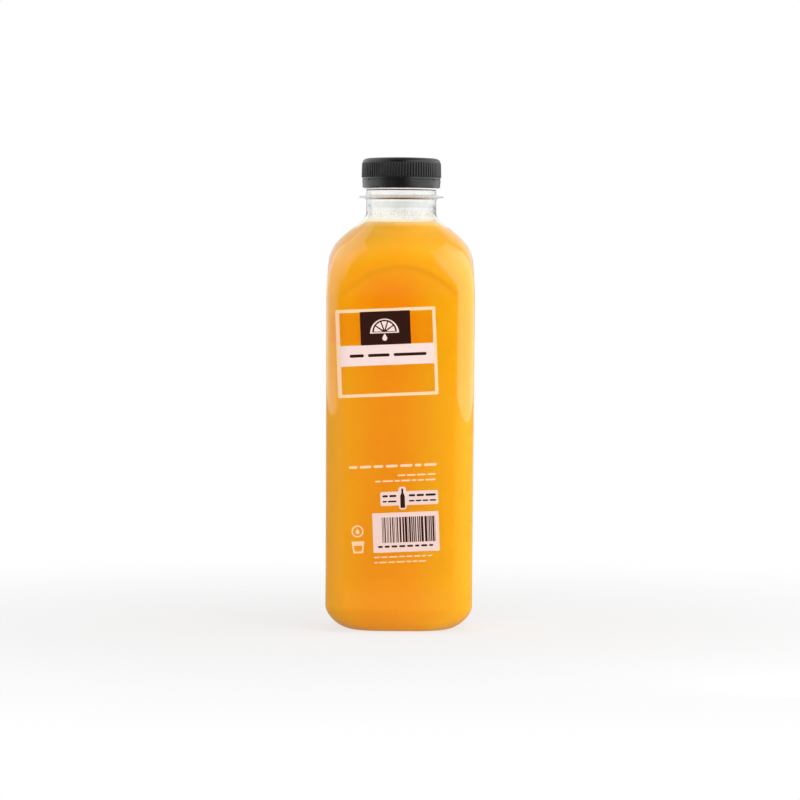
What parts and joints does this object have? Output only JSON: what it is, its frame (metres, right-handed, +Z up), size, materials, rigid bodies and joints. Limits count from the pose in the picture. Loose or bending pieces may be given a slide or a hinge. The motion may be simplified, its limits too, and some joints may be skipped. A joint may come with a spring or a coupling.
{
  "type": "orange juice bottle",
  "caption": "Shut clear plastic bottle with a square body, domed shoulder and round neck, full of orange juice, with a ribbed black screw cap and a clear printed film label on its front.",
  "frame": {"origin": "on the floor under the bottle's axis, at the middle of the underside", "axes": "+Z up along the bottle's axis, -Y towards the label's side, +X to the right as seen from the label's side"},
  "size_m": [0.0742, 0.0746, 0.2387],
  "materials": {
    "clear_plastic": "clear blown plastic, smooth and glossy",
    "juice": "cloudy orange juice, smooth, paler near its surface",
    "cap_plastic": "black moulded plastic, satin",
    "film": "thin clear film, glossy",
    "print_pale": "pale cream printing ink on film",
    "print_dark": "dark brown printing ink on film"
  },
  "bodies": {
    "root": {"bottle": "clear_plastic", "juice": "juice", "cap": "cap_plastic", "label": "film"}
  },
  "joints": []
}
